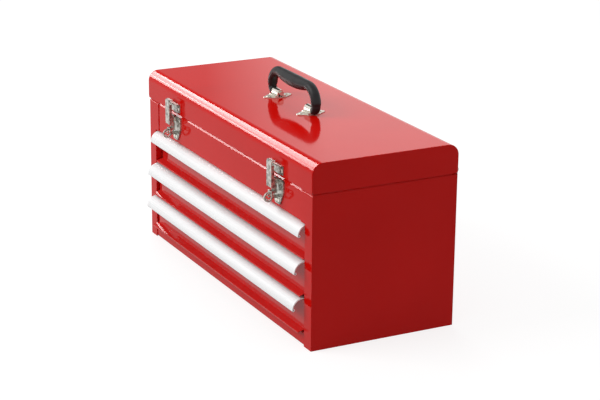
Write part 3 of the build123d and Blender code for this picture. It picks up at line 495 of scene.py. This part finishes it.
floor_paint = bpy.data.materials.new("floor_paint")
floor_paint.use_nodes = True
floor_paint.node_tree.nodes.clear()
matt = node(floor_paint, "ShaderNodeBsdfDiffuse", Color=grey(FLOOR_PAINT))
glow = node(floor_paint, "ShaderNodeEmission", Color=grey(1.0))
seen = node(floor_paint, "ShaderNodeMath", operation="MULTIPLY")
seen.inputs[1].default_value = SEEN_FLOOR
both = node(floor_paint, "ShaderNodeAddShader")
out = node(floor_paint, "ShaderNodeOutputMaterial")
link(floor_paint, seen_directly(floor_paint), seen.inputs[0])
link(floor_paint, seen.outputs["Value"], glow.inputs["Strength"])
link(floor_paint, matt.outputs["BSDF"], both.inputs[0])
link(floor_paint, glow.outputs["Emission"], both.inputs[1])
link(floor_paint, both.outputs["Shader"], out.inputs["Surface"])

bm = bmesh.new()
bmesh.ops.create_grid(bm, x_segments=1, y_segments=1, size=FLOOR_SIZE)
mesh = bpy.data.meshes.new("floor")
bm.to_mesh(mesh)
bm.free()
mesh.materials.append(floor_paint)
floor = bpy.data.objects.new("floor", mesh)
bpy.context.scene.collection.objects.link(floor)


def soft_lamp(name, place, aim, size, radiance, lights=True, shines=True):
    """An area lamp turned to a point. One that doesn't light is only seen in the enamel's gloss."""
    light = bpy.data.lights.new(name, "AREA")
    light.shape = "RECTANGLE"
    light.size, light.size_y = size
    light.energy = radiance * math.pi * size[0] * size[1]
    lamp = bpy.data.objects.new(name, light)
    lamp.location = place
    lamp.rotation_euler = (Vector(aim) - Vector(place)).to_track_quat("-Z", "Y").to_euler()
    lamp.visible_diffuse = lights
    lamp.visible_glossy = shines
    if not lights:
        lamp.light_linking.receiver_collection = ENAMELLED
    bpy.context.scene.collection.objects.link(lamp)


soft_lamp("front_lamp", (-0.9, -2.3, 1.9), (0, 0, 0.15), (2.0, 1.5), 4.6)
soft_lamp("left_lamp", (-1.5, 0.5, 1.4), (0, 0, 0.25), (0.9, 0.9), 3.0, shines=False)
soft_lamp("edge_softbox", (-3.0, -0.78, 2.05), (0, -0.78, 2.05), (1.7, 0.8), 18.0, lights=False)
soft_lamp("edge_softbox_low", (-3.0, -0.92, 1.35), (0, -0.92, 1.35), (1.9, 0.6), 12.5, lights=False)
soft_lamp("seam_softbox", (-2.8, -1.42, 0.95), (0, 0, 0.2), (1.5, 0.5), 13.0, lights=False)
soft_lamp("back_softbox", (-3.2, 1.85, 1.3), (0, 1.85, 1.3), (1.9, 1.4), 0.72, lights=False)

FLAG_PLACE = (-2.5, 0.75, 1.4)
FLAG_SIZE = (2.4, 1.3, 1)  # height and depth
FLAG_DEPTH = 0.72
FLAG_FADE = (1.0, 1.4)
flag_cloth = bpy.data.materials.new("flag_cloth")
flag_cloth.use_nodes = True
flag_cloth.node_tree.nodes.clear()
black = node(flag_cloth, "ShaderNodeBsdfDiffuse", Color=grey(0.0))
clear = node(flag_cloth, "ShaderNodeBsdfTransparent")
place = node(flag_cloth, "ShaderNodeTexCoord")
split = node(flag_cloth, "ShaderNodeSeparateXYZ")
fade = node(
    flag_cloth, "ShaderNodeMapRange",
    From_Min=FLAG_FADE[0], From_Max=FLAG_FADE[1], To_Min=FLAG_DEPTH, To_Max=0.0,
)
blend = node(flag_cloth, "ShaderNodeMixShader")
out = node(flag_cloth, "ShaderNodeOutputMaterial")
link(flag_cloth, place.outputs["Object"], split.inputs["Vector"])
link(flag_cloth, split.outputs["Y"], fade.inputs["Value"])
link(flag_cloth, fade.outputs["Result"], blend.inputs["Fac"])
link(flag_cloth, clear.outputs["BSDF"], blend.inputs[1])
link(flag_cloth, black.outputs["BSDF"], blend.inputs[2])
link(flag_cloth, blend.outputs["Shader"], out.inputs["Surface"])
upright = Matrix.Rotation(math.radians(90), 3, "Y")
bm = bmesh.new()
bmesh.ops.create_grid(bm, x_segments=1, y_segments=1, size=0.5)
bmesh.ops.scale(bm, verts=bm.verts, vec=FLAG_SIZE)
bmesh.ops.rotate(bm, verts=bm.verts, matrix=upright)
bmesh.ops.translate(bm, verts=bm.verts, vec=FLAG_PLACE)
mesh = bpy.data.meshes.new("flag")
bm.to_mesh(mesh)
bm.free()
mesh.materials.append(flag_cloth)
flag = bpy.data.objects.new("flag", mesh)
bpy.context.scene.collection.objects.link(flag)
flag.visible_camera = False
flag.visible_diffuse = False
flag.visible_shadow = False

camera_data = bpy.data.cameras.new("camera")
camera_data.sensor_width = SENSOR_WIDTH
camera_data.lens = CAMERA_LENS
camera = bpy.data.objects.new("camera", camera_data)
bpy.context.scene.collection.objects.link(camera)
camera.matrix_world = (
    Matrix.Translation(CAMERA_PLACE)
    @ Matrix.Rotation(math.radians(CAMERA_AZIMUTH), 4, "Z")
    @ Matrix.Rotation(math.radians(90 - CAMERA_ELEVATION), 4, "X")
    @ Matrix.Rotation(math.radians(CAMERA_ROLL), 4, "Z")
)
bpy.context.scene.camera = camera
bpy.context.scene.view_settings.view_transform = "Standard"
